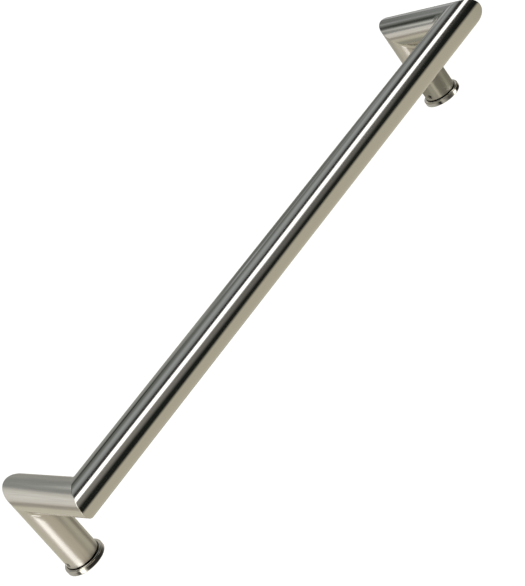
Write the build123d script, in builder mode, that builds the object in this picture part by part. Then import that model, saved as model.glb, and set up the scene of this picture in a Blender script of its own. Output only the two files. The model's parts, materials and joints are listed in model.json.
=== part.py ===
"""Grab rail of welded stainless tube on two bosses with hidden fixings, in millimetres.

The mounting plane is Z = 0, and +Z points away from it. The grip runs along X. At each end
an offset tube brings it back along +Y to a post, which slides over a boss screwed down to
the boat. A set screw in each post clamps it to the boss. The origin is midway between the
two fixing holes.
"""

import os

from build123d import *

# ---- driving dimensions ----
post_spacing = 609.6  # between the axes of the two posts
grip_offset = 82.55  # from the posts' axes to the grip's axis, along Y
grip_height = 82.55  # of the grip's axis above the mounting plane

tube_diameter = 31.75  # the grip, offset tubes and posts are cut from one tube
tube_wall = 1.65
weld_width = 1.2  # of the weld that fills each mitre, ground flush with the tubes

flange_overhang = 3.175  # of the boss's flange past the post, all round
flange_thickness = 5.5
flange_edge_radius = 1.2
seat_height = 0.6  # raised seat that leaves a shadow gap under the post
seat_inset = 3.0  # of the seat's edge from the post's surface
spigot_length = 14.0  # above the seat
spigot_lead_in = 0.8
fixing_hole_diameter = 8.4  # clearance for an M8 countersunk screw
countersink_diameter = 16.4
countersink_angle = 90.0

bush_wall = 4.2
bush_length = 16.0
bush_lead_in = 0.6

screw_diameter = 5.0  # M5 socket set screw with a flat point
screw_rise = 4.6  # of its axis above the end of the post
screw_recess = 0.9  # of its outer end below the post's surface
screw_chamfer = 0.4
socket_across_flats = 2.5
socket_depth = 2.6

# ---- clearances ----
sliding_clearance = 0.05  # radial, spigot in bush
pressed_clearance = 0.02  # radial, bush in post
thread_clearance = 0.05  # radial, set screw in its tapped hole
point_clearance = 0.02  # between the set screw's point and the spigot

# ---- what follows from them ----
tube_radius = tube_diameter / 2
tube_bore_radius = tube_radius - tube_wall
bush_radius = tube_bore_radius - pressed_clearance
bush_bore_radius = bush_radius - bush_wall
spigot_radius = bush_bore_radius - sliding_clearance
screw_hole_radius = screw_diameter / 2 + thread_clearance
screw_point = spigot_radius + point_clearance
screw_length = tube_radius - screw_recess - screw_point
post_x = post_spacing / 2
seat_top = flange_thickness + seat_height
blank_excess = tube_diameter  # raw tube past each mitre corner, before it is cut off
ends = {"left": -1, "right": 1}


def grip_plane(direction):
    """Plane across the middle of the grip, facing left (-1) or right (1)."""
    return Plane(origin=(0, -grip_offset, grip_height), z_dir=(direction, 0, 0))


def offset_plane(side):
    """Plane across the raw end of an offset tube behind its post, facing the grip."""
    return Plane(origin=(side * post_x, blank_excess, grip_height), z_dir=(0, -1, 0))


def post_plane(side):
    """Plane across the lower end of a post, facing up."""
    return Plane(origin=(side * post_x, 0, seat_top))


def grip_mitre(side):
    """Plane where the grip meets an offset tube, facing the offset tube."""
    return Plane(origin=(side * post_x, -grip_offset, grip_height), z_dir=(side, 1, 0))


def post_mitre(side):
    """Plane where an offset tube meets its post, facing the offset tube."""
    return Plane(origin=(side * post_x, 0, grip_height), z_dir=(0, -1, 1))


def screw_plane(side):
    """Plane across a set screw's axis at the post's centre. Both screws face left."""
    screw_height = seat_top + screw_rise
    return Plane(origin=(side * post_x, 0, screw_height), z_dir=(-1, 0, 0))


def tube_section(plane):
    """Cross-section of the tube, with its centre at the plane's origin."""
    with BuildSketch(plane) as section:
        Circle(tube_radius)
        Circle(tube_bore_radius, mode=Mode.SUBTRACT)
    return section.sketch


def half_grip_blank(side):
    """Raw tube from the middle of the grip to past one of its corners."""
    return extrude(tube_section(grip_plane(side)), amount=post_x + blank_excess)


def offset_blank(side):
    """Raw tube from behind a post to in front of the grip."""
    return extrude(tube_section(offset_plane(side)), amount=grip_offset + 2 * blank_excess)


def post_blank(side):
    """Raw tube from the lower end of a post to above the offset tube."""
    return extrude(tube_section(post_plane(side)), amount=grip_height - seat_top + blank_excess)


def drill_screw_hole(side):
    """Cut the set screw's hole through one wall of the piece being built."""
    with BuildSketch(screw_plane(side)) as hole:
        Circle(screw_hole_radius)
    extrude(hole.sketch, amount=tube_diameter, mode=Mode.SUBTRACT)


def build_grip_tube():
    with BuildPart() as grip_tube:
        for side in ends.values():
            half_grip_blank(side)
        for side in ends.values():
            split(bisect_by=grip_mitre(side).offset(-weld_width / 2), keep=Keep.BOTTOM)
    return grip_tube


def build_offset_tube(side):
    with BuildPart() as offset_tube:
        offset_blank(side)
        for mitre in (grip_mitre(side), post_mitre(side)):
            split(bisect_by=mitre.offset(weld_width / 2), keep=Keep.TOP)
    return offset_tube


def build_post_tube(side):
    with BuildPart() as post_tube:
        post_blank(side)
        split(bisect_by=post_mitre(side).offset(-weld_width / 2), keep=Keep.BOTTOM)
        drill_screw_hole(side)
    return post_tube


def build_weld(side, mitre, blank_below):
    """Ring of weld between an offset tube, above the mitre plane, and the tube below it."""
    with BuildPart() as upper_half:
        offset_blank(side)
        split(bisect_by=mitre, keep=Keep.TOP)
        split(bisect_by=mitre.offset(weld_width / 2), keep=Keep.BOTTOM)
    with BuildPart() as weld:
        blank_below(side)
        split(bisect_by=mitre, keep=Keep.BOTTOM)
        split(bisect_by=mitre.offset(-weld_width / 2), keep=Keep.TOP)
        add(upper_half.part)
    return weld


def build_grip_weld(side):
    return build_weld(side, grip_mitre(side), half_grip_blank)


def build_post_weld(side):
    return build_weld(side, post_mitre(side), post_blank)


def build_post_bush(side):
    """Sleeve pressed into the end of the post. The set screw's thread is in its wall."""
    with BuildPart() as post_bush:
        with BuildSketch(post_plane(side)):
            Circle(bush_radius)
            Circle(bush_bore_radius, mode=Mode.SUBTRACT)
        extrude(amount=bush_length)
        end_faces = post_bush.faces().filter_by(Axis.Z)
        bore_rims = [face.inner_wires()[0].edges()[0] for face in end_faces]
        chamfer(bore_rims, length=bush_lead_in)
        drill_screw_hole(side)
    return post_bush


def build_set_screw(side):
    with BuildPart() as set_screw:
        with BuildSketch(screw_plane(side).offset(screw_point)):
            Circle(screw_diameter / 2)
        extrude(amount=screw_length)
        chamfer(set_screw.edges().filter_by(GeomType.CIRCLE), length=screw_chamfer)
        with BuildSketch(screw_plane(side).offset(screw_point + screw_length)):
            RegularPolygon(socket_across_flats / 2, side_count=6, major_radius=False)
        extrude(amount=-socket_depth, mode=Mode.SUBTRACT)
    return set_screw


def build_mount_boss(side):
    """Turned boss: a polished flange, a seat and a spigot, with one countersunk hole."""
    with BuildPart() as mount_boss:
        with BuildSketch(Plane(origin=(side * post_x, 0, 0))):
            Circle(tube_radius + flange_overhang)
        extrude(amount=flange_thickness)
        fillet(mount_boss.edges().filter_by(GeomType.CIRCLE), radius=flange_edge_radius)
        with BuildSketch(Plane(origin=(side * post_x, 0, flange_thickness))):
            Circle(tube_radius - seat_inset)
        extrude(amount=seat_height)
        with BuildSketch(post_plane(side)):
            Circle(spigot_radius)
        extrude(amount=spigot_length)
        spigot_top = mount_boss.faces().sort_by(Axis.Z)[-1]
        chamfer(spigot_top.edges(), length=spigot_lead_in)
        with Locations(post_plane(side).offset(spigot_length)):
            CounterSinkHole(
                radius=fixing_hole_diameter / 2,
                counter_sink_radius=countersink_diameter / 2,
                counter_sink_angle=countersink_angle,
            )
    return mount_boss


end_pieces = {
    "offset_tube": build_offset_tube,
    "post_tube": build_post_tube,
    "grip_weld": build_grip_weld,
    "post_weld": build_post_weld,
    "post_bush": build_post_bush,
    "set_screw": build_set_screw,
    "mount_boss": build_mount_boss,
}

built = {"grip_tube": build_grip_tube()}
for end, side in ends.items():
    for piece, build in end_pieces.items():
        built[f"{end}_{piece}"] = build(side)

os.makedirs("parts", exist_ok=True)
for name, piece in built.items():
    piece.part.label = name
    export_step(piece.part, f"parts/{name}.step")
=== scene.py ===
import json
import math

import bmesh
import bpy
import numpy as np
from mathutils import Matrix, Vector

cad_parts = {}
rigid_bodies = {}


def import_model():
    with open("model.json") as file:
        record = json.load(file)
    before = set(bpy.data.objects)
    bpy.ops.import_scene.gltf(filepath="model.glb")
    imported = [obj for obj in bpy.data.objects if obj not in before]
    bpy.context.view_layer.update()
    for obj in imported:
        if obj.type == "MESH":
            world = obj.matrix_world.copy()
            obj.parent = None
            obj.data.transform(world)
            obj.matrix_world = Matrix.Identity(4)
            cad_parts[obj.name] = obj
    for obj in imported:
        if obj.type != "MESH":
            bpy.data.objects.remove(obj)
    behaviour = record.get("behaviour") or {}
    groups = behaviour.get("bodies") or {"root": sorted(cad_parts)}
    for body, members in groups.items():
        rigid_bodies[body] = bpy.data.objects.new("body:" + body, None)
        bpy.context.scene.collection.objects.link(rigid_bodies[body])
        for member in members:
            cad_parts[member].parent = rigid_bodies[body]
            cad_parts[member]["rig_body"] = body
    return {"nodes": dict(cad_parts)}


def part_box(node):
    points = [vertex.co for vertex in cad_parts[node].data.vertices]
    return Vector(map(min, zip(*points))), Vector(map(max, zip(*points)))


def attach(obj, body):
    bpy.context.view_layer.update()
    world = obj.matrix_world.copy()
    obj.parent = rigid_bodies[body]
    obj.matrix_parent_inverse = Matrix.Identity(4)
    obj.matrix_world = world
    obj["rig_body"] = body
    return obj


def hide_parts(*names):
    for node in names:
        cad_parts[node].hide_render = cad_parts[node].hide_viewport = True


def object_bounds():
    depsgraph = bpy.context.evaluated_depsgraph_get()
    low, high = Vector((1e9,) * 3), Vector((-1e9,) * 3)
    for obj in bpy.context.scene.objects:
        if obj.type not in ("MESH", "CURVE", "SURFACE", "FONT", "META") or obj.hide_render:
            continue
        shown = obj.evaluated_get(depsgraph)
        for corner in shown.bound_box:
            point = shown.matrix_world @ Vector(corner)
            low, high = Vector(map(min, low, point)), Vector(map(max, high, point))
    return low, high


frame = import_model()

scene = bpy.context.scene
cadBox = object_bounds()
ends = {"left": -1, "right": 1}
pressFit = 0.00002  # the bush's radius is this much less than the bore's


def middle(node):
    low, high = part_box(node)
    return np.array((low + high) / 2)


def size(node):
    low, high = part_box(node)
    return np.array(high - low)


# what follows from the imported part, in metres
tubeRadius = size("grip_tube")[2] / 2
boreRadius = size("left_post_bush")[0] / 2 + pressFit
gripY = cadBox[0].y + tubeRadius
gripZ = middle("grip_tube")[2]
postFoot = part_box("left_post_tube")[0].z  # lower end of both posts
screwZ = middle("left_set_screw")[2]
postX = {end: middle(end + "_mount_boss")[0] for end in ends}
postY = middle("left_mount_boss")[1]


# shader nodes

class Wire:
    # an output socket that can be added, subtracted and multiplied
    def __init__(self, graph, socket):
        self.graph = graph
        self.socket = socket

    def calc(self, operation, a, b):
        return self.graph.node("ShaderNodeMath", {"operation": operation}, {0: a, 1: b})

    def __add__(self, other):
        return self.calc("ADD", self, other)

    __radd__ = __add__

    def __sub__(self, other):
        return self.calc("SUBTRACT", self, other)

    def __rsub__(self, other):
        return self.calc("SUBTRACT", other, self)

    def __mul__(self, other):
        return self.calc("MULTIPLY", self, other)

    __rmul__ = __mul__

    def atLeast(self, other):
        return self.calc("MAXIMUM", self, other)

    def beside(self, name):
        # another output of the same node
        return Wire(self.graph, self.socket.node.outputs[name])


class Graph:
    # the node tree of a material or a world, emptied
    def __init__(self, owner):
        owner.use_nodes = True
        self.tree = owner.node_tree
        self.tree.nodes.clear()

    def node(self, kind, settings=None, inputs=None, output=0):
        # settings first, then values or wires into the sockets; gives one output back
        made = self.tree.nodes.new(kind)
        for name, value in (settings or {}).items():
            setattr(made, name, value)
        for name, value in (inputs or {}).items():
            if isinstance(value, Wire):
                self.tree.links.new(value.socket, made.inputs[name])
            else:
                made.inputs[name].default_value = value
        return Wire(self, made.outputs[output]) if len(made.outputs) else made

    def mixColour(self, factor, first, second):
        # inputs 6 and 7 and output 2 are the ones that carry a colour
        inputs = {0: factor, 6: first, 7: second}
        return self.node("ShaderNodeMix", {"data_type": "RGBA"}, inputs, output=2)


# meshes

roundSteps = 128  # points round every tube and boss
sharpEdge = 35  # degrees; a steeper edge is drawn sharp
samePlace = 0.000001  # metres; points closer than this count as one
turns = np.linspace(0, 2 * np.pi, roundSteps, endpoint=False)


def xyz(x, y, z):
    return np.array([x, y, z], float)


def gridFaces(rows, columns, closed=True):
    # a quad joins each point to the next in its row and to both of theirs in the row after; a
    # closed grid wraps round both ways
    last = 0 if closed else 1
    row, column = np.arange(rows - last)[:, None], np.arange(columns - last)
    rowAfter, columnAfter = (row + 1) % rows, (column + 1) % columns
    quads = np.stack(np.broadcast_arrays(
        row * columns + column,
        row * columns + columnAfter,
        rowAfter * columns + columnAfter,
        rowAfter * columns + column,
    ), axis=-1)
    return quads.reshape(-1, 4)


def makeObject(name, points, faces, material):
    mesh = bpy.data.meshes.new(name)
    mesh.from_pydata(points.reshape(-1, 3).tolist(), [], faces.tolist())
    shaped = bmesh.new()
    shaped.from_mesh(mesh)
    bmesh.ops.recalc_face_normals(shaped, faces=shaped.faces)
    shaped.to_mesh(mesh)
    shaped.free()
    mesh.shade_smooth()
    mesh.set_sharp_from_angle(angle=math.radians(sharpEdge))
    mesh.materials.append(material)
    made = bpy.data.objects.new(name, mesh)
    scene.collection.objects.link(made)
    return made


def makePanel(name, corners, material):
    return makeObject(name, np.array(corners), np.array([[0, 1, 2, 3]]), material)


def addPiece(name, points, faces, material, node):
    piece = makeObject(name, points, faces, material)
    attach(piece, frame["nodes"][node]["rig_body"])
    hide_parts(node)
    return piece


# camera

camera = {
    "azimuth": -31.883,  # degrees round the rail from straight in front
    "elevation": 24.559,
    "roll": 37.576,
    "distance": 1.5,
    "aim": (-0.08077, -0.08018, 0.03922),  # from the middle of the rail's box
    "lens": 111.3,
    "sensor": 36,
}


def makeCamera():
    # backward axis from azimuth and elevation; right and up axes turned about it by the roll
    azimuth, elevation, roll = (math.radians(camera[k]) for k in ("azimuth", "elevation", "roll"))
    back = Vector((
        math.sin(azimuth) * math.cos(elevation),
        -math.cos(azimuth) * math.cos(elevation),
        math.sin(elevation),
    ))
    level = Vector((math.cos(azimuth), math.sin(azimuth), 0))
    upright = back.cross(level)
    right = math.cos(roll) * level - math.sin(roll) * upright
    up = math.cos(roll) * upright + math.sin(roll) * level
    made = bpy.data.objects.new("camera", bpy.data.cameras.new("camera"))
    made.data.sensor_width = camera["sensor"]
    made.data.lens = camera["lens"]
    made.rotation_mode = "QUATERNION"
    made.rotation_quaternion = Matrix((right, up, back)).transposed().to_quaternion()
    middleOfRail = (cadBox[0] + cadBox[1]) / 2
    made.location = middleOfRail + Vector(camera["aim"]) + back * camera["distance"]
    scene.collection.objects.link(made)
    scene.camera = made


makeCamera()
scene.view_settings.view_transform = "Standard"
print("camera done")


# floor, sky and sun

studio = {
    "floorDrop": 0.9,  # of the floor below the mounting plane
    "floorSize": 16.0,
    "floorTone": (0.85, 0.85, 0.84),
    "floorGlow": 0.34,  # added where the camera or the metal sees the floor
    "skyTone": 0.5,  # the world as a light
    "sun": 1.3,
    "sunAngle": 60,
    "sunTilt": (25, -15),  # degrees about X and Y from straight overhead
}


def seenByMetalAndCamera(graph):
    direct = graph.node("ShaderNodeLightPath", output="Is Camera Ray")
    mirrored, through = direct.beside("Is Glossy Ray"), direct.beside("Is Transmission Ray")
    return direct.atLeast(mirrored).atLeast(through)


def makeWorld():
    # strength = sky where the world lights a surface, and 1 where it is seen
    world = bpy.data.worlds.new("studio")
    scene.world = world
    graph = Graph(world)
    sky = studio["skyTone"]
    light = graph.node("ShaderNodeBackground", inputs={
        "Color": (1, 1, 1, 1), "Strength": sky + (1 - sky) * seenByMetalAndCamera(graph),
    })
    graph.node("ShaderNodeOutputWorld", inputs={"Surface": light})


def makeFloor():
    material = bpy.data.materials.new("paleFloor")
    graph = Graph(material)
    matt = graph.node("ShaderNodeBsdfDiffuse", inputs={"Color": (*studio["floorTone"], 1)})
    strength = studio["floorGlow"] * seenByMetalAndCamera(graph)
    glow = graph.node("ShaderNodeEmission", inputs={"Strength": strength})
    both = graph.node("ShaderNodeAddShader", inputs={0: matt, 1: glow})
    graph.node("ShaderNodeOutputMaterial", inputs={"Surface": both})
    half, z = studio["floorSize"] / 2, -studio["floorDrop"]
    corners = [(-half, -half, z), (half, -half, z), (half, half, z), (-half, half, z)]
    makePanel("floor", corners, material)


def makeSun():
    lamp = bpy.data.lights.new("softSun", "SUN")
    lamp.energy = studio["sun"]
    lamp.angle = math.radians(studio["sunAngle"])
    made = bpy.data.objects.new("softSun", lamp)
    made.rotation_euler = (*(math.radians(tilt) for tilt in studio["sunTilt"]), 0)
    made.visible_glossy = False
    scene.collection.objects.link(made)


# panels that only the metal sees

def hideFromCamera(made):
    for ray in ("camera", "diffuse", "transmission", "volume_scatter", "shadow"):
        setattr(made, "visible_" + ray, False)


def glowMaterial(name, colour, strength=1.0):
    material = bpy.data.materials.new(name)
    graph = Graph(material)
    glow = graph.node("ShaderNodeEmission", inputs={"Color": (*colour, 1), "Strength": strength})
    graph.node("ShaderNodeOutputMaterial", inputs={"Surface": glow})
    return material


def paintedGlow(name, insideOnly=False):
    # glows with the colour painted on the points; where only the inside glows, the share of
    # glow = the paint's alpha on the inside and 0 outside, and the rest is clear
    material = bpy.data.materials.new(name)
    graph = Graph(material)
    paint = graph.node("ShaderNodeAttribute", {"attribute_name": "paint"}, output="Color")
    glow = graph.node("ShaderNodeEmission", inputs={"Color": paint, "Strength": 1.0})
    if insideOnly:
        share = paint.beside("Alpha") * graph.node("ShaderNodeNewGeometry", output="Backfacing")
        clear = graph.node("ShaderNodeBsdfTransparent")
        glow = graph.node("ShaderNodeMixShader", inputs={0: share, 1: clear, 2: glow})
    graph.node("ShaderNodeOutputMaterial", inputs={"Surface": glow})
    return material


def paintedSheet(name, points, colours, alpha, material):
    # an open grid with a colour and an opacity on each point
    sheet = makeObject(name, points, gridFaces(*points.shape[:2], closed=False), material)
    paint = np.concatenate([colours, alpha[..., None]], axis=-1).astype(np.float32)
    painted = sheet.data.attributes.new("paint", "FLOAT_COLOR", "POINT")
    painted.data.foreach_set("color", paint.ravel())
    hideFromCamera(sheet)


# The light tent is a wide tunnel round the grip's axis. Each band edge has an angle at each
# of four places along X, and runs straight between them. Towards the left a plain wall takes
# over from the bands, and soft-edged cards are laid over both.
tent = {
    "radius": 0.9,
    "from": -1.5,
    "to": 1.6,
    "stepsAlong": 125,
    "stepsRound": 721,
    "places": (0.1, 0.5, 0.75, 1.0),
    "bands": [  # light, then degrees up from straight in front at each place
        ((0.36, 0.36, 0.33), (-180, -180, -180, -180)),
        ((0.40, 0.39, 0.35), (-164, -164, -164, -164)),
        ((0.64, 0.61, 0.50), (-156, -156, -156, -156)),
        ((0.63, 0.59, 0.475), (-120, -120, -120, -120)),
        ((0.62, 0.585, 0.47), (-36, -24, -16, -12)),
        ((0.012, 0.015, 0.013), (-22, -10, -3, 4)),
        ((0.014, 0.018, 0.015), (4, 1, 14, 32)),
        ((0.25, 0.24, 0.22), (21, 16, 29, 46)),
        ((0.28, 0.27, 0.25), (38, 37, 47, 57)),
        ((0.50, 0.50, 0.49), (39, 38, 48, 58)),
        ((2.3, 2.3, 2.3), (43, 46, 56, 64)),
        ((2.3, 2.3, 2.3), (58, 59, 70, 78)),
        ((0.05, 0.05, 0.05), (63, 65, 76, 84)),
        ((0.05, 0.05, 0.05), (74, 74, 88, 102)),
        ((0.30, 0.32, 0.32), (84, 83, 98, 114)),
        ((0.46, 0.49, 0.50), (98, 100, 114, 130)),
        ((0.37, 0.39, 0.39), (107, 110, 123, 138)),
        ((0.18, 0.19, 0.175), (120, 122, 136, 154)),
        ((0.19, 0.20, 0.19), (136, 134, 147, 164)),
        ((0.39, 0.40, 0.385), (147, 150, 158, 170)),
        ((0.32, 0.33, 0.315), (154, 156, 164, 174)),
        ((0.42, 0.42, 0.395), (166, 166, 172, 177)),
        ((0.36, 0.36, 0.33), (180, 180, 180, 180)),
    ],
    "greyBands": [7, 8],  # counted from 0: the greys between the black flag and the strip
    "greyShare": (1.15, 0.65, 0.75, 0.25),  # share of their light at each place
    "sag": ((0.1, 0.3, 0.5), (0.0, 2.5, 0.0)),  # X, then degrees that the bands hang lower
    "leftWall": [  # degrees, then light
        (-180, (0.84, 0.80, 0.74)),
        (-172, (0.44, 0.40, 0.35)),
        (-164, (0.50, 0.46, 0.40)),
        (-158, (0.73, 0.70, 0.58)),
        (-148, (0.70, 0.66, 0.55)),
        (-40, (0.63, 0.56, 0.45)),
        (80, (0.60, 0.56, 0.47)),
        (110, (0.42, 0.42, 0.39)),
        (140, (0.42, 0.42, 0.39)),
        (152, (0.80, 0.78, 0.73)),
        (160, (0.94, 0.92, 0.88)),
        (174, (0.90, 0.87, 0.82)),
        (180, (0.84, 0.80, 0.74)),
    ],
    "wallEdge": [  # degrees, then where along X the wall ends
        (-180, -0.33), (-150, -0.33), (-100, -0.12), (20, -0.12), (35, -0.70), (130, -0.50),
        (147, -0.56), (150, -0.54), (153, -0.37), (160, -0.34), (180, -0.33),
    ],
    "wallFade": 0.08,
    "rightDim": ((1.0, 1.25), (1.0, 0.55)),  # X, then the share of the light left
    "cards": [  # each laid over the last: soft edges along X, soft edges in degrees, light
        ((0.44, 0.52, 0.68, 0.76), (131, 134, 139, 142), (0.345, 0.36, 0.365)),
        ((0.68, 0.76, 0.98, 1.08), (129, 133, 146, 151), (0.33, 0.345, 0.35)),
        ((0.33, 0.41, 0.68, 0.76), (140, 143, 150, 153), (0.19, 0.20, 0.19)),
        ((0.33, 0.41, 0.86, 0.97), (148, 153, 176, 180), (0.20, 0.205, 0.195)),
        ((0.37, 0.42, 0.46, 0.51), (128, 132, 141, 146), (0.47, 0.49, 0.50)),
        ((0.95, 1.02, 1.35, 1.45), (148, 154, 176, 180), (0.55, 0.56, 0.57)),
        ((-0.06, 0.06, 0.19, 0.33), (128, 132, 141, 146), (0.04, 0.045, 0.04)),
        ((-0.36, -0.28, -0.17, 0.03), (134, 138, 143, 147), (0.95, 0.96, 0.93)),
        ((-0.32, -0.10, 0.40, 0.50), (-149, -144, -130, -126), (0.38, 0.375, 0.31)),
        ((-1.60, -1.55, -0.60, -0.45), (40, 55, 112, 122), (1.6, 1.55, 1.45)),
        ((1.12, 1.24, 1.50, 1.60), (-130, -118, -66, -55), (0.14, 0.13, 0.10)),
    ],
    "endReach": 0.99,  # half of an end panel's width
    "ends": {  # which end, its foot and head as shares of the reach above the grip, light
        "tentLeft": ("from", -1.0, 0.45, (0.74, 0.69, 0.60)),
        "tentLeftTop": ("from", 0.45, 1.0, (2.3, 2.3, 2.2)),
        "tentRight": ("to", -1.0, 1.0, (0.30, 0.28, 0.22)),
    },
}


def onTent(x, angle, radius):
    # y = grip - radius * cos(angle), z = grip + radius * sin(angle)
    turn = np.radians(angle)
    y, z = gripY - radius * np.cos(turn), gripZ + radius * np.sin(turn)
    return np.stack(np.broadcast_arrays(x, y, z), axis=-1)


def between(angle, stops, colours):
    # each of red, green and blue runs straight from one stop to the next
    return np.stack([np.interp(angle, stops, shade) for shade in np.transpose(colours)], axis=-1)


def softEdged(value, edges):
    # 0 outside the edges, 1 between the inner two, straight in between
    return np.interp(value, edges, (0, 1, 1, 0))


def tentLight(x, angle):
    # wall + share * (bands - wall), dimmed far right, and then for each card in turn
    # light + cover * (card - light), where cover = its share along X * its share round
    places = tent["places"]
    colours = np.array([colour for colour, _ in tent["bands"]])
    colours[tent["greyBands"]] *= np.interp(x, places, tent["greyShare"])
    stops = [np.interp(x, places, angles) for _, angles in tent["bands"]]
    bands = between(angle + np.interp(x, *tent["sag"]), stops, colours)
    wall = between(angle, *zip(*tent["leftWall"]))
    edge = np.interp(angle, *zip(*tent["wallEdge"]))
    share = np.clip((x - edge) / tent["wallFade"] + 0.5, 0, 1)[:, None]
    light = (wall + share * (bands - wall)) * np.interp(x, *tent["rightDim"])
    for across, around, card in tent["cards"]:
        cover = softEdged(x, across) * softEdged(angle, around)
        light = light + cover[:, None] * (np.array(card) - light)
    return light


def makeTent():
    x = np.linspace(tent["from"], tent["to"], tent["stepsAlong"])
    angle = np.linspace(-180, 180, tent["stepsRound"])
    points = onTent(x[:, None], angle, tent["radius"])
    colours = np.stack([tentLight(place, angle) for place in x])
    paintedSheet("tentWall", points, colours, np.ones(points.shape[:2]), paintedGlow("tentWall"))
    reach = tent["endReach"]
    front, back = gripY - reach, gripY + reach
    for name, (side, foot, head, colour) in tent["ends"].items():
        x, low, high = tent[side], gripZ + foot * reach, gripZ + head * reach
        corners = [(x, front, low), (x, back, low), (x, back, high), (x, front, high)]
        hideFromCamera(makePanel(name, corners, glowMaterial(name, colour)))


# A ring of small cards stands round each boss, seen from inside only. Its low part reaches
# only the polished flange, and so does the shade over it, which is seen from below. The
# right ring goes on upwards and fades out, for the foot of that post.
ringCards = {
    "steps": 361,
    "ring": [(0.030, -0.030, 1), (0.030, -0.0005, 1)],  # radius, height and opacity of each row
    "shade": [(0.0215, 0.0145, 1), (0.080, 0.0085, 1)],
    "foot": [(0.030, -0.0005, 1), (0.030, 0.020, 1), (0.030, 0.030, 0)],
    "tint": (1.0, 0.96, 0.86),
    "footTint": (1.0, 0.95, 0.74),
    "left": [  # degrees from straight in front towards the left, then the light there
        (-180, 0.50), (-100, 0.60), (-80, 0.50), (-62, 0.15), (-45, 0.06), (-20, 0.03), (30, 0.04),
        (40, 0.15), (47, 0.90), (52, 2.30), (66, 2.30), (71, 0.15), (80, 0.14), (90, 0.50),
        (110, 0.60), (140, 0.50), (180, 0.50),
    ],
    "right": [
        (-180, 0.60), (-75, 0.50), (-66, 0.04), (-32, 0.02), (-24, 0.05), (-18, 2.30), (-6, 2.30),
        (0, 0.30), (12, 0.12), (26, 0.10), (38, 0.30), (52, 0.60), (58, 0.50), (64, 0.03),
        (71, 0.03), (80, 0.30), (95, 0.55), (125, 0.60), (180, 0.60),
    ],
    "rightFoot": [
        (-180, 0.28), (-60, 0.25), (-34, 0.27), (-15, 0.42), (3, 0.22), (46, 0.21), (54, 0.60),
        (61, 0.60), (67, 0.33), (80, 0.36), (100, 0.28), (125, 0.30), (180, 0.28),
    ],
}


def makeRingCards(end, part, stops, tint):
    # rows round the post: x = post - radius * sin(turn), y = post - radius * cos(turn), with
    # the light at that turn times the tint
    angle = np.linspace(-180, 180, ringCards["steps"])
    turn = np.radians(angle)
    radius, height, opacity = np.array(ringCards[part]).T[:, :, None]
    x, y = postX[end] - radius * np.sin(turn), postY - radius * np.cos(turn)
    points = np.stack(np.broadcast_arrays(x, y, height), axis=-1)
    light = np.interp(angle, *zip(*stops))[:, None] * tint
    colours = np.broadcast_to(light, points.shape)
    alpha = np.broadcast_to(opacity, points.shape[:2])
    name = end + part.capitalize() + "Cards"
    paintedSheet(name, points, colours, alpha, paintedGlow(name, insideOnly=True))


softBox = {
    "middle": (-1.26, -0.29, -0.36),
    "size": (0.62, 0.42),
    "tone": (1.0, 0.97, 0.94),
    "light": 2.0,
}


def makeSoftBox():
    # a panel that faces the left post: corner = middle +- half its width +- half its height
    place = Vector(softBox["middle"])
    towards = Vector((postX["left"], postY, gripZ / 2)) - place
    turned = towards.to_track_quat("Z", "Y").to_matrix()
    width, height = softBox["size"]
    across, up = turned.col[0] * width / 2, turned.col[1] * height / 2
    corners = [place - across - up, place + across - up, place + across + up, place - across + up]
    material = glowMaterial("softBox", softBox["tone"], softBox["light"])
    hideFromCamera(makePanel("softBox", corners, material))


makeWorld()
makeFloor()
makeSun()
makeTent()
for end in ends:
    makeRingCards(end, "ring", ringCards[end], ringCards["tint"])
    makeRingCards(end, "shade", ringCards[end], ringCards["tint"])
makeRingCards("right", "foot", ringCards["rightFoot"], ringCards["footTint"])
makeSoftBox()
print("light done")


# steel

brushing = {
    "fineDetail": 3.0,
    "broadDetail": 2.0,
    "harshness": 0.6,  # of both line patterns
    "cloudScale": 28.0,
    "cloudDetail": 2.0,
    "bumpDistance": 0.001,
}


def brushedSteel(name, finish, grain):
    # Lines run along the grain's axis, the way in which the noise is stretched. Roughness =
    # finish + fine lines + clouds, each about its mean; height = fine lines + broad lines
    material = bpy.data.materials.new(name)
    graph = Graph(material)
    place = graph.node("ShaderNodeTexCoord", output="Object")

    def lines(width, length, detail):
        scale = [1 / width] * 3
        scale["XYZ".index(grain)] = 1 / length
        stretched = graph.node("ShaderNodeMapping", inputs={"Vector": place, "Scale": scale})
        return graph.node("ShaderNodeTexNoise", inputs={
            "Vector": stretched, "Scale": 1.0, "Detail": detail,
            "Roughness": brushing["harshness"],
        })

    fine = lines(finish["fineWidth"], finish["fineLength"], brushing["fineDetail"])
    broad = lines(finish["broadWidth"], finish["broadLength"], brushing["broadDetail"])
    cloud = graph.node("ShaderNodeTexNoise", inputs={
        "Vector": place, "Scale": brushing["cloudScale"], "Detail": brushing["cloudDetail"],
    })
    uneven = finish["fineRough"] * (fine - 0.5) + finish["cloudRough"] * (cloud - 0.5)
    roughness = finish["roughness"] + uneven
    colour = graph.mixColour(broad, (*finish["dark"], 1), (*finish["light"], 1))
    if "paintedShade" in finish:  # painted shadow line: where unshaded is 0 the colour is the near-black painted shade, where it is 1 the steel's own
        unshaded = graph.node("ShaderNodeAttribute", {"attribute_name": "unshaded"}, output="Fac")
        colour = graph.mixColour(unshaded, (*finish["paintedShade"], 1), colour)
    bump = graph.node("ShaderNodeBump", inputs={
        "Strength": 1.0, "Distance": brushing["bumpDistance"],
        "Height": finish["fineDepth"] * fine + finish["broadDepth"] * broad,
    })
    steel = graph.node("ShaderNodeBsdfPrincipled", inputs={
        "Base Color": colour, "Metallic": 1.0, "Roughness": roughness, "Normal": bump,
    })
    graph.node("ShaderNodeOutputMaterial", inputs={"Surface": steel})
    return material


# mitred corners

joint = {
    "bendOutside": 0.0005,  # rounding left by grinding at the outside of a corner
    "bendInside": 0.0050,  # and at the inside
    "lead": 0.0004,  # straight part of the weld's skin past the rounding
    "gapInside": 0.00085,  # half of the weld, along the bore
}

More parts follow.
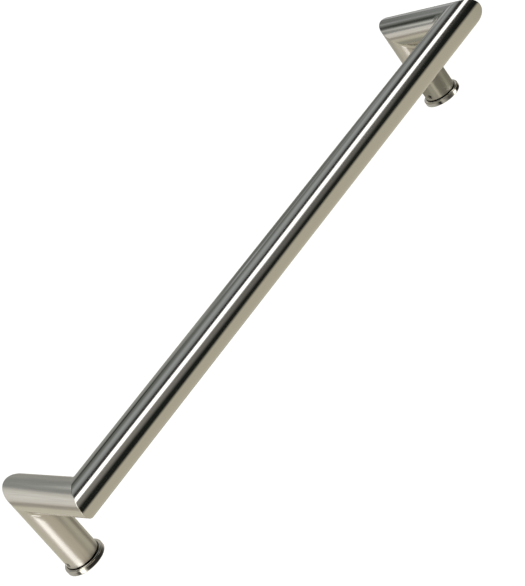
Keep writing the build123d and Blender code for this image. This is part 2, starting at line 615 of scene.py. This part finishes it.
mitres = {}  # one tube runs into the corner's point and the next runs away from it
for end, side in ends.items():
    mitres[end, "grip"] = {
        "point": xyz(postX[end], gripY, gripZ), "into": xyz(side, 0, 0), "away": xyz(0, 1, 0)}
    mitres[end, "post"] = {
        "point": xyz(postX[end], postY, gripZ), "into": xyz(0, 0, 1), "away": xyz(0, -1, 0)}


def mitreReach(mitre, radial, axis, radius):
    # distance along the axis from the corner's point to the mitre, on a surface of that
    # radius = -radius * (radial . both ways) / (axis . both ways)
    bothWays = mitre["into"] + mitre["away"]
    return -radius * (radial @ bothWays) / (axis @ bothWays)


def rounding(outward):
    # outside + (inside - outside) * ((1 - outward) / 2) ** 3, where outward is 1 at the
    # corner's outside and -1 at its inside
    outside, inside = joint["bendOutside"], joint["bendInside"]
    return outside + (inside - outside) * ((1 - outward) / 2) ** 3


def mitreGap(mitre, radial, radius):
    # from the mitre back to the tube's end: half of the weld at the bore, and at the outer
    # wall the rounding there plus the lead
    if radius == boreRadius:
        return joint["gapInside"]
    return rounding(radial @ (mitre["into"] - mitre["away"])) + joint["lead"]


def radials(first, second):
    # cos(turn) * first + sin(turn) * second, once round
    return np.cos(turns)[:, None] * first + np.sin(turns)[:, None] * second


def along(start, radial, radius, axis, reach):
    # point = start + radius * radial + reach * axis
    return start + radius * radial + reach[..., None] * axis


def mitredTube(near, far, axis, radial, rows):
    # outer wall from the near mitre to the far one and the bore back again: point = corner +
    # radius * radial + reach * axis, where each row's reach = first + share * (last - first)
    length = axis @ (far["point"] - near["point"])
    walls = []
    for radius, share in ((tubeRadius, np.linspace(0, 1, rows)), (boreRadius, np.array([1, 0]))):
        first = mitreReach(near, radial, axis, radius) + mitreGap(near, radial, radius)
        last = mitreReach(far, radial, axis, radius) - mitreGap(far, radial, radius) + length
        reach = first + share[:, None] * (last - first)
        walls.append(along(near["point"], radial, radius, axis, reach))
    return np.concatenate(walls)


# grip

grip = {
    "rows": 32,  # along its outer wall
    "steel": {
        "dark": (0.59, 0.575, 0.54),
        "light": (0.61, 0.60, 0.565),
        "roughness": 0.11,
        "fineWidth": 0.0005, "fineLength": 0.03, "fineDepth": 0.004, "fineRough": 0.06,
        "broadWidth": 0.004, "broadLength": 0.25, "broadDepth": 0.004,
        "cloudRough": 0.04,
    },
}
gripSteel = brushedSteel("gripSteel", grip["steel"], "X")


def makeGrip():
    # a tube along X from the left mitre to the right one
    left, right = mitres["left", "grip"], mitres["right", "grip"]
    radial = radials(xyz(0, -1, 0), xyz(0, 0, 1))
    points = mitredTube(left, right, xyz(1, 0, 0), radial, grip["rows"])
    faces = gridFaces(len(points), roundSteps)
    addPiece("gripTube", points, faces, gripSteel, "grip_tube")


# offset tubes

offset = {
    "rows": 12,
    "steel": dict(
        grip["steel"], dark=(0.52, 0.505, 0.47), light=(0.67, 0.66, 0.625), roughness=0.17,
        fineDepth=0.008, broadWidth=0.0014, broadLength=0.05, broadDepth=0.016,
    ),
}
offsetSteel = brushedSteel("offsetSteel", offset["steel"], "Y")


def makeOffset(end):
    # a tube along Y from the grip's mitre to the post's
    front, behind = mitres[end, "grip"], mitres[end, "post"]
    radial = radials(xyz(0, 0, 1), xyz(1, 0, 0))
    points = mitredTube(front, behind, xyz(0, 1, 0), radial, offset["rows"])
    faces = gridFaces(len(points), roundSteps)
    node = end + "_offset_tube"
    addPiece(end + "OffsetTube", points, faces, offsetSteel, node)


# posts

post = {
    "rows": 8,  # from the window up to the mitre
    "edgeBreak": 0.00025,  # at the lower end
    "hole": 0.00255,  # radius of the set screw's hole
    "rimBreak": 0.0003,
    "window": 0.0040,  # half-height of the patch of wall round the hole
    "cells": 10,  # of the grid, across the window and up it
    "outerShares": (0.3, 0.6, 0.85, 1.0),  # of the way from the window's edge to the rim
    "boreShares": (1.0, 0.6, 0.3),
    "steel": dict(
        grip["steel"], dark=(0.56, 0.545, 0.51), light=(0.63, 0.62, 0.585), roughness=0.30,
        fineDepth=0.005, broadWidth=0.003, broadLength=0.06, broadDepth=0.0015,
    ),
}
postSteel = brushedSteel("postSteel", post["steel"], "Z")


def evenRow(height):
    return np.full((1, roundSteps), height)


def postWall(end, radial, radius):
    # rows upwards: the foot, the window's even levels, then height = window's top + share *
    # (mitre - window's top)
    mitre, up = mitres[end, "post"], xyz(0, 0, 1)
    levels = screwZ + np.linspace(-1, 1, post["cells"] + 1) * post["window"]
    top = gripZ + mitreReach(mitre, radial, up, radius) - mitreGap(mitre, radial, radius)
    share = np.linspace(0, 1, post["rows"] + 1)[1:, None]
    upper = levels[-1] + share * (top - levels[-1])
    foot = postFoot + (post["edgeBreak"] if radius == tubeRadius else 0)
    height = np.concatenate([evenRow(foot), np.repeat(levels[:, None], roundSteps, 1), upper])
    return along(xyz(postX[end], postY, 0), radial, radius, up, height)


def windowEdge(lowRow, rise):
    # numbers of the points once round the window from its low corner; the rows above the low
    # one come after it (rise 1) or before it (rise -1)
    step, cells = np.arange(post["cells"]), post["cells"]
    row = np.concatenate([0 * step, step, 0 * step + cells, cells - step])
    column = np.concatenate([step, 0 * step + cells, cells - step, 0 * step])
    return (lowRow + rise * row) * roundSteps + column


def holeRing(end, edge, radius, share, holeRadius, sink=0.0):
    # seen along the hole, each point goes a share of the way from the window's edge to the
    # hole's circle; x = post - root of (radius squared - y squared), plus the sink
    y, z = edge[:, 1] - postY, edge[:, 2] - screwZ
    turn = np.arctan2(z, y)
    y = (1 - share) * y + share * holeRadius * np.cos(turn)
    z = (1 - share) * z + share * holeRadius * np.sin(turn)
    x = postX[end] - np.sqrt(radius ** 2 - y ** 2) + sink
    return np.stack([x, postY + y, screwZ + z], axis=-1)


def makePost(end):
    # The lip at the foot, the outer wall upwards and the bore down again are one closed grid,
    # less a window in each wall. Rings run from the outer window's edge in to the hole's rim,
    # through the wall, and out again to the bore's window.
    cells = post["cells"]
    radial = radials(xyz(-1, 0, 0), xyz(0, 1, 0))  # starts at the hole's middle
    radial = np.roll(radial, cells // 2, axis=0)  # starts at the window's side
    centre, lipRadius = xyz(postX[end], postY, 0), tubeRadius - post["edgeBreak"]
    lip = along(centre, radial, lipRadius, xyz(0, 0, 1), evenRow(postFoot))
    outer, bore = postWall(end, radial, tubeRadius), postWall(end, radial, boreRadius)
    grid = np.concatenate([lip, outer, bore[::-1]])
    outerLow, boreLow = 2, len(grid) - 2  # rows at the low edge of each window
    keep = np.ones((len(grid), roundSteps), bool)
    keep[outerLow:outerLow + cells, :cells] = False
    keep[boreLow - cells:boreLow, :cells] = False
    outerEdge, boreEdge = windowEdge(outerLow, 1), windowEdge(boreLow, -1)

    points = grid.reshape(-1, 3)
    hole, rim = post["hole"], post["rimBreak"]
    rings = [holeRing(end, points[outerEdge], tubeRadius, share, hole + rim)
             for share in post["outerShares"]]
    rings.append(holeRing(end, points[outerEdge], tubeRadius, 1.0, hole, rim))
    rings += [holeRing(end, points[boreEdge], boreRadius, share, hole)
              for share in post["boreShares"]]
    numbers = len(points) + np.arange(len(rings) * len(outerEdge)).reshape(len(rings), -1)
    chain = np.concatenate([[outerEdge], numbers, [boreEdge]])
    after = np.roll(chain, -1, axis=1)
    quads = np.stack([chain[:-1], after[:-1], after[1:], chain[1:]], axis=-1).reshape(-1, 4)

    faces = np.concatenate([gridFaces(len(grid), roundSteps)[keep.ravel()], quads])
    used, renumbered = np.unique(faces, return_inverse=True)
    points = np.concatenate([points, *rings])[used]
    node = end + "_post_tube"
    addPiece(end + "PostTube", points, renumbered.reshape(-1, 4), postSteel, node)


# welds

weld = {
    "bendRows": 17,  # round each corner
    "steel": dict(grip["steel"], roughness=0.14, fineDepth=0.006),
}
weldSteel = brushedSteel("weldSteel", weld["steel"], "Z")


def makeWeld(end, kind):
    # each line along the tubes turns the corner on a quarter circle, point = centre + bend *
    # (sin(turn) * into - cos(turn) * away), with a lead at both ends; the root is flat
    point, into, away = mitres[end, kind].values()
    radial = radials(into - away, np.cross(into, away))
    seam, root = point + tubeRadius * radial, point + boreRadius * radial
    bend = rounding(np.cos(turns))[:, None]
    centre = seam - bend * into + bend * away
    turn = np.radians(np.linspace(0, 90, weld["bendRows"]))[:, None, None]
    quarter = centre + bend * (np.sin(turn) * into - np.cos(turn) * away)
    lead, gap = bend + joint["lead"], joint["gapInside"]
    points = np.concatenate([
        [seam - lead * into], quarter, [seam + lead * away],
        [root + gap * away, root, root - gap * into],
    ])
    faces = gridFaces(len(points), roundSteps)
    name, node = f"{end}{kind.capitalize()}Weld", f"{end}_{kind}_weld"
    addPiece(name, points, faces, weldSteel, node)


makeGrip()
for end in ends:
    makeOffset(end)
    makePost(end)
    makeWeld(end, "grip")
    makeWeld(end, "post")
print("tubes and welds done")


# bosses, turned

boss = {
    "flangeHeight": 0.0055,
    "edgeRadius": 0.0012,
    "edgeRows": 9,  # round each rim
    "seatRadius": 0.012875,
    "spigotRadius": 0.009955,
    "spigotLeadIn": 0.0008,
    "holeRadius": 0.0042,
    "countersink": 0.0082,  # radius at the top
    "easing": 0.00015,  # short flat beside each rounded edge
    "shadeLineInside": 0.0014,  # painted shadow line on the flange round the post's foot, for the shade in the gap: inside and outside the post's surface
    "shadeLineOutside": 0.0005,
    "shadeLineFade": 0.0004,
    "steel": dict(
        # the near-black colour is painted shade, for the shadow in the gap under the post
        grip["steel"], paintedShade=(0.03, 0.03, 0.028), roughness=0.05, fineDepth=0.0015,
        broadDepth=0.001, fineRough=0.02, cloudRough=0.02,
    ),
}
bossSteel = brushedSteel("bossSteel", boss["steel"], "Z")


def quarterRound(centre, radius, fromDegrees, toDegrees):
    # centre + radius * (cos(turn), sin(turn))
    turn = np.radians(np.linspace(fromDegrees, toDegrees, boss["edgeRows"]))
    across, up = centre[0] + radius * np.cos(turn), centre[1] + radius * np.sin(turn)
    return np.stack([across, up], axis=-1)


def bossProfile(flangeRadius, seatTop, top):
    # radius and height of each point round the section, from the hole's lower edge
    rim, flange, easing = boss["edgeRadius"], boss["flangeHeight"], boss["easing"]
    hole, sink = boss["holeRadius"], boss["countersink"]
    seat, spigot, leadIn = boss["seatRadius"], boss["spigotRadius"], boss["spigotLeadIn"]
    rimCentre = flangeRadius - rim
    # points that bound the painted shadow line round the post's foot
    shadeLineFrom, shadeLineTo = tubeRadius - boss["shadeLineInside"], tubeRadius + boss["shadeLineOutside"]
    fade = boss["shadeLineFade"]
    return np.concatenate([
        [(hole, 0), (rimCentre - easing, 0)],
        quarterRound((rimCentre, rim), rim, -90, 0),
        [(flangeRadius, rim + easing), (flangeRadius, flange - rim - easing)],
        quarterRound((rimCentre, flange - rim), rim, 0, 90),
        [(rimCentre - easing, flange), (shadeLineTo + fade, flange), (shadeLineTo, flange)],
        [(shadeLineFrom, flange), (shadeLineFrom - fade, flange), (seat, flange), (seat, seatTop)],
        [(spigot, seatTop), (spigot, top - leadIn), (spigot - leadIn, top)],
        [(sink, top), (hole, top - (sink - hole))],
    ])


def makeBoss(end):
    # profile turned about the post: x = post + radius * cos(turn), y = post + radius *
    # sin(turn), z = height; unshaded is 0 on the painted shadow line and 1 everywhere else
    node = end + "_mount_boss"
    low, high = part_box(node)
    profile = bossProfile((high.x - low.x) / 2, postFoot, high.z)
    radius, height = profile[:, 0, None], profile[:, 1, None]
    x, y = postX[end] + radius * np.cos(turns), postY + radius * np.sin(turns)
    points = np.stack(np.broadcast_arrays(x, y, height), axis=-1)
    faces = gridFaces(len(profile), roundSteps)
    made = addPiece(end + "Boss", points, faces, bossSteel, node)
    # painted shade: the shadow line on the flange's top round the post's foot
    outside = radius - tubeRadius
    paintedShade = abs(height - boss["flangeHeight"]) < samePlace
    paintedShade &= outside < boss["shadeLineOutside"] + samePlace
    paintedShade &= outside > -boss["shadeLineInside"] - samePlace
    unshaded = np.broadcast_to(1 - paintedShade, points.shape[:2]).astype(np.float32)
    painted = made.data.attributes.new("unshaded", "FLOAT", "POINT")
    painted.data.foreach_set("value", unshaded.ravel())


for end in ends:
    makeBoss(end)
print("bosses done")


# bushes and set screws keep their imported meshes

bush = dict(grip["steel"], roughness=0.26)
screw = dict(grip["steel"], dark=(0.34, 0.33, 0.31), light=(0.40, 0.39, 0.37), roughness=0.3)
kept = {
    "_post_bush": brushedSteel("bushSteel", bush, "Z"),
    "_set_screw": brushedSteel("screwSteel", screw, "X"),
}
for end in ends:
    for piece, material in kept.items():
        for slot in frame["nodes"][end + piece].material_slots:
            slot.material = material
print("bushes and set screws done")
